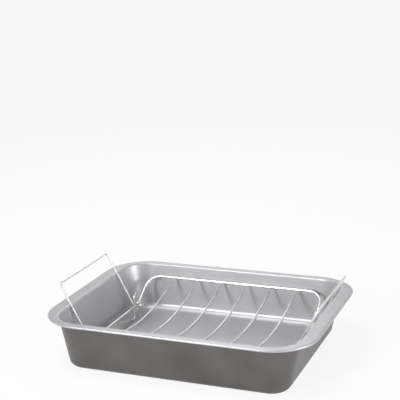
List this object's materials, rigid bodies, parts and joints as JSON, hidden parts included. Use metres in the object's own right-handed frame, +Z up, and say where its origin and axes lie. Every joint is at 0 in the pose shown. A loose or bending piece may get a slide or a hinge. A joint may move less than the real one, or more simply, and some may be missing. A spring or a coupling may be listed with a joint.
{
  "type": "roasting pan with rack",
  "caption": "Deep rectangular coated steel roasting pan with a flat rim, and a lift-out wire rack with bowed crossbars, wire feet and drop handles.",
  "frame": {"origin": "middle of the flat underside of the pan", "axes": "+X along the pan's length towards one handle, +Y across it, +Z up"},
  "size_m": [0.42, 0.317, 0.1121],
  "materials": {
    "coated_steel": "satin grey non-stick coating",
    "plated_wire": "bright plated wire"
  },
  "bodies": {
    "pan": {"pan": "coated_steel"},
    "rack": {"rack_frame": "plated_wire", "crossbar_1": "plated_wire", "crossbar_2": "plated_wire", "crossbar_3": "plated_wire", "crossbar_4": "plated_wire", "crossbar_5": "plated_wire", "crossbar_6": "plated_wire", "foot_left": "plated_wire", "foot_right": "plated_wire"},
    "left_handle": {"handle_left": "plated_wire"},
    "right_handle": {"handle_right": "plated_wire"}
  },
  "joints": [
    {"name": "rack_lift", "type": "slide", "parent": "pan", "child": "rack", "axis": [0, 0, 1], "range_m": [0, 0.1]},
    {"name": "left_handle_swing", "type": "hinge", "parent": "rack", "child": "left_handle", "pos_m": [-0.1519, 0, 0.0251], "axis": [0, 1, 0], "range_deg": [0, 26]},
    {"name": "right_handle_swing", "type": "hinge", "parent": "rack", "child": "right_handle", "pos_m": [0.1519, 0, 0.0251], "axis": [0, -1, 0], "range_deg": [0, 26]}
  ]
}
